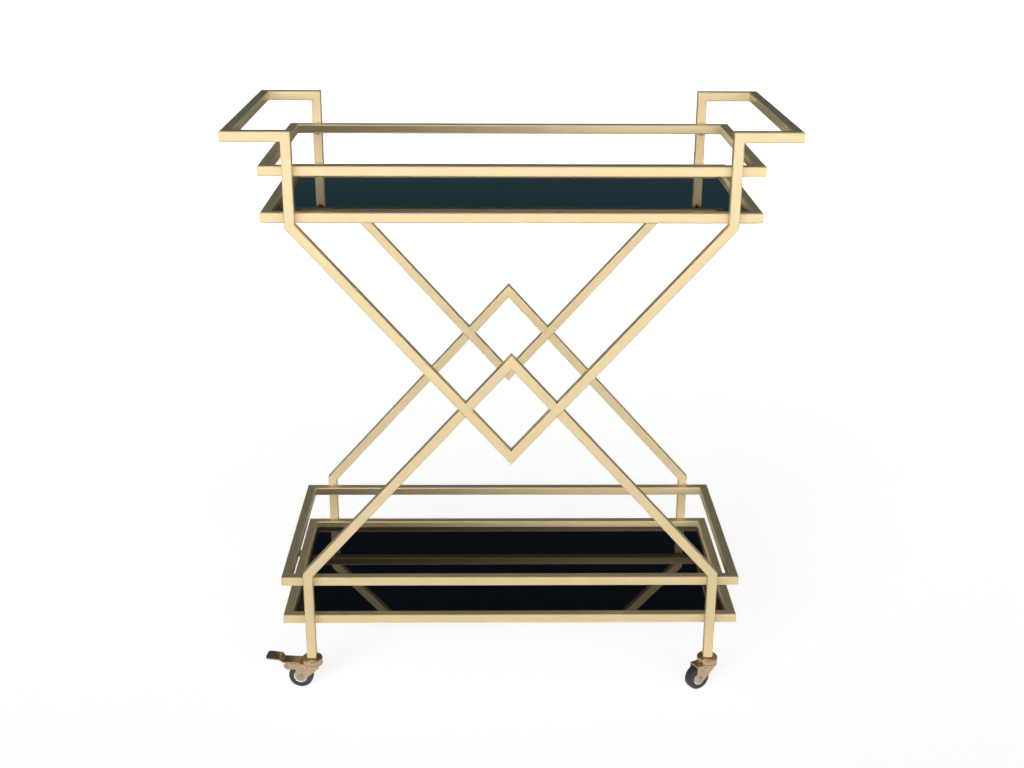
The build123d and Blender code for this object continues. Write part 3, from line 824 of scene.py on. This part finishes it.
tyre_section = both_sides([
    (HUB_RADIUS, TYRE_HALF, 0.4),
    (12.4, TYRE_HALF, 0.3),  # the ring in the side wall
    (12.8, TYRE_HALF - 0.5, 0.3),
    (15.4, TYRE_HALF - 0.5, 0.3),
    (15.8, TYRE_HALF, 0.3),
    (18.2, TYRE_HALF - 0.2, 1.5),  # the shoulder
    (19.3, TYRE_HALF - 1.5, 1.5),
    (TYRE_RADIUS - 0.2, TYRE_HALF - 3.6, 4.0),
    (TYRE_RADIUS - 0.12, 0.5, 0.2),  # the parting line
    (TYRE_RADIUS, 0.25, 0.05),
])
for caster in POST_NAMES:
    tyre = turned(f"{caster}_moulded_tyre", tyre_section, "tyre_rubber", steps=TYRE_STEPS)
    set_at(tyre, [axle_place(caster, middle_of(f"{caster}_tyre"))])
    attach(tyre, f"{caster}_wheel")
    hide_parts(f"{caster}_tyre")
print("tyre faces:", len(tyre.data.polygons))

# %% Hubs with ribs
RIB_COUNT = 8
RIB_THICKNESS = 1.2
RIB_HALF = 6.4
RIB_LENGTH = 4.6
RIB_MIDDLE = 7.5
RIB_EDGE = 0.25


def spokes_tree(material):
    """Copies of a plate turned about Z, one for each share of the circle."""
    tree, given, result = modifier_tree("spokes", {"Count": 6})
    index = node(tree, "GeometryNodeInputIndex")
    share = node(tree, "ShaderNodeMath", operation="DIVIDE")
    angle = node(tree, "ShaderNodeMath", operation="MULTIPLY")
    turn = node(tree, "ShaderNodeCombineXYZ")
    rotation = node(tree, "FunctionNodeEulerToRotation")
    places = node(tree, "GeometryNodePoints")
    copies = node(tree, "GeometryNodeInstanceOnPoints")
    angle.inputs[1].default_value = 2 * pi
    link(tree, index.outputs[0], share.inputs[0])
    link(tree, given.outputs["Count"], share.inputs[1])
    link(tree, share.outputs[0], angle.inputs[0])
    link(tree, angle.outputs[0], turn.inputs["Z"])
    link(tree, turn.outputs[0], rotation.inputs[0])
    link(tree, given.outputs["Count"], places.inputs["Count"])
    link(tree, places.outputs[0], copies.inputs["Points"])
    link(tree, given.outputs["Geometry"], copies.inputs["Instance"])
    link(tree, rotation.outputs[0], copies.inputs["Rotation"])
    end_tree(tree, copies.outputs[0], result, material)
    return tree


def rib_plate():
    """One rib from the boss to the rim, with eased edges."""
    work = bmesh.new()
    bmesh.ops.create_cube(work, size=1.0)
    plate = Vector((RIB_LENGTH, RIB_THICKNESS, 2 * RIB_HALF)) * MM
    bmesh.ops.scale(work, verts=work.verts, vec=plate)
    bmesh.ops.translate(work, verts=work.verts, vec=(RIB_MIDDLE * MM, 0.0, 0.0))
    bmesh.ops.bevel(work, geom=work.edges[:], offset=RIB_EDGE * MM, segments=2, profile=0.5,
                    affect="EDGES")
    mesh = bpy.data.meshes.new("rib")
    work.to_mesh(mesh)
    work.free()
    return mesh


hub_section = both_sides([
    (3.05, 8.5, 0.0),  # the boss round the axle
    (6.0, 8.5, 0.5),
    (6.0, 3.0, 0.5),  # the web
    (9.0, 3.0, 0.5),
    (9.0, 7.5, 0.4),  # the rim under the tyre
    (HUB_RADIUS, 7.5, 0.3),
])
spokes = spokes_tree(finishes["hub_plastic"])
for caster in POST_NAMES:
    place = axle_place(caster, middle_of(f"{caster}_tyre"))
    hub = set_at(turned(f"{caster}_moulded_hub", hub_section, "hub_plastic"), [place])
    ribs = new_piece(f"{caster}_hub_ribs", rib_plate(), "hub_plastic")
    set_at(run_tree(ribs, spokes, Count=RIB_COUNT), [place])
    for part in (hub, ribs):
        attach(part, f"{caster}_wheel")
        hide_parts(f"{caster}_wheel_hub")
print("hub faces:", len(hub.data.polygons), "ribs:", RIB_COUNT)

# %% [markdown]
# ## Rivets and caps
# The axle and the brake pivot are hollow-ended rivets: their flared ends are open in the middle
# and look dark there. The cap over the bearing is a pressed cup with a ring pressed into its top.
# All are round, so they are turned from sections like the wheels.

# %% Rivets
FORK_HALF = 10.3
RIVET_STEPS = 40


def rivet(name, radius, head_radius, head_height, bore, bore_depth):
    """A rivet with an open, flared head outside each cheek of the fork. Sizes in millimetres."""
    end = FORK_HALF + head_height
    half = [
        (0.0, end - bore_depth, 0.0),
        (bore * 0.8, end - bore_depth, 0.2),
        (bore, end, 0.3),
        (head_radius - 0.9 * head_height, end, 0.5),
        (head_radius, FORK_HALF + 0.3 * head_height, 0.6),
        (head_radius, FORK_HALF, 0.1),
        (radius, FORK_HALF, 0.1),
    ]
    return turned(name, both_sides(half), "zinc_steel", steps=RIVET_STEPS, ring=False)


for caster in POST_NAMES:
    axle = rivet(f"{caster}_hollow_axle", radius=3.0, head_radius=5.0, head_height=1.4,
                 bore=2.5, bore_depth=1.8)
    set_at(axle, [axle_place(caster, middle_of(f"{caster}_axle"))])
    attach(axle, f"{caster}_swivel")
    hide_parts(f"{caster}_axle")
    if f"{caster}_brake_pin" in nodes:
        pin = rivet(f"{caster}_pivot_rivet", radius=2.0, head_radius=3.4, head_height=1.2,
                    bore=1.5, bore_depth=1.2)
        set_at(pin, [axle_place(caster, middle_of(f"{caster}_brake_pin"))])
        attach(pin, body_of[f"{caster}_brake_pin"])
        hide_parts(f"{caster}_brake_pin")
print("rivet faces:", len(axle.data.polygons))

# %% Bearing caps
CAP_STEPS = 72
cap_section = [
    (4.1, 51.4, 0.0),  # the hole for the stem
    (4.1, 53.0, 0.2),
    (8.6, 53.0, 0.4),  # the pressed ring
    (9.2, 52.6, 0.4),
    (12.6, 52.6, 0.4),
    (13.2, 53.0, 0.4),
    (16.5, 53.0, 2.6),  # the drawn edge
    (16.5, 44.6, 0.4),
    (14.9, 44.6, 0.3),  # the inside of the cup
    (14.9, 51.4, 1.2),
]
caps = turned("pressed_caps", cap_section, "caster_gold", steps=CAP_STEPS)
set_at(caps, [Matrix.Translation((*post_centre(name), 0.0)) for name in POST_NAMES])
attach(caps, "root")
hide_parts("caster_caps")
print("cap faces:", len(caps.data.polygons))

# %% [markdown]
# ## Pressings
# Forks and pedals are bent and stamped sheet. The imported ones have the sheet's flats and bends
# but sharp edges. A die leaves no sharp edge, and light catches a rolled one as a thin line, so
# their copies are bevelled: wide where the fork's crown rolls over into its cheeks, and fine
# elsewhere.

# %% Forks
PRESSED_EDGE = 0.00025
ROLLED_EDGE = 0.0016
ROLLED_STEPS = 4
CROWN_TOP = 0.044
CROWN_UNDERSIDE = 0.0419
FLAT_BELOW = radians(0.5)
ON_PLANE = 1e-5
STAMPED_HEIGHT = 0.7
STAMPED_TOP = 0.84


def slope_stamped_rib(work, into_fork):
    """Draws in the top of the rib stamped in each cheek, so that its walls slope."""
    below_crown = [v for v in work.verts if v.co.z < CROWN_UNDERSIDE]
    for hand in (-1, 1):
        height = hand * (FORK_HALF + STAMPED_HEIGHT) * MM
        top = [v for v in below_crown if abs((into_fork @ v.co).z - height) < ON_PLANE]
        middle = sum((v.co for v in top), Vector()) / len(top)
        for vert in top:
            vert.co = middle + (vert.co - middle) * STAMPED_TOP


def rolled_fork(caster):
    """A fork whose crown rolls over into its cheeks, with its other edges eased."""
    work = merged_copy(f"{caster}_fork")
    bmesh.ops.dissolve_limit(work, angle_limit=FLAT_BELOW, verts=work.verts, edges=work.edges)
    share = work.edges.layers.float.new("bevel_weight_edge")
    into_fork = axle_place(caster, middle_of(f"{caster}_tyre")).inverted()
    slope_stamped_rib(work, into_fork)
    for edge in work.edges:
        if not edge.is_manifold or edge.calc_face_angle(0.0) < SMOOTH_BELOW:
            continue
        ends = [(v.co.z, abs((into_fork @ v.co).z)) for v in edge.verts]
        at_top = all(abs(z - CROWN_TOP) < ON_PLANE for z, _ in ends)
        on_cheek = all(abs(out - FORK_HALF * MM) < ON_PLANE for _, out in ends)
        edge[share] = 1.0 if at_top and on_cheek else PRESSED_EDGE / ROLLED_EDGE
    return polished(f"{caster}_fork", work, bevel=ROLLED_EDGE, limit="WEIGHT",
                    segments=ROLLED_STEPS)


for caster in POST_NAMES:
    fork = rolled_fork(caster)
print("fork faces:", len(fork.data.polygons))

# %% Pedals, stems and inserts
PEDAL_EDGE = 0.00045

pedal_nodes = [name for name in nodes if name.endswith("_brake_pedal")]
for name in pedal_nodes:
    polished(name, merged_copy(name), bevel=PEDAL_EDGE)
for name in ("caster_stems", "leg_inserts"):
    polished(name, merged_copy(name))
print("pedals:", len(pedal_nodes))
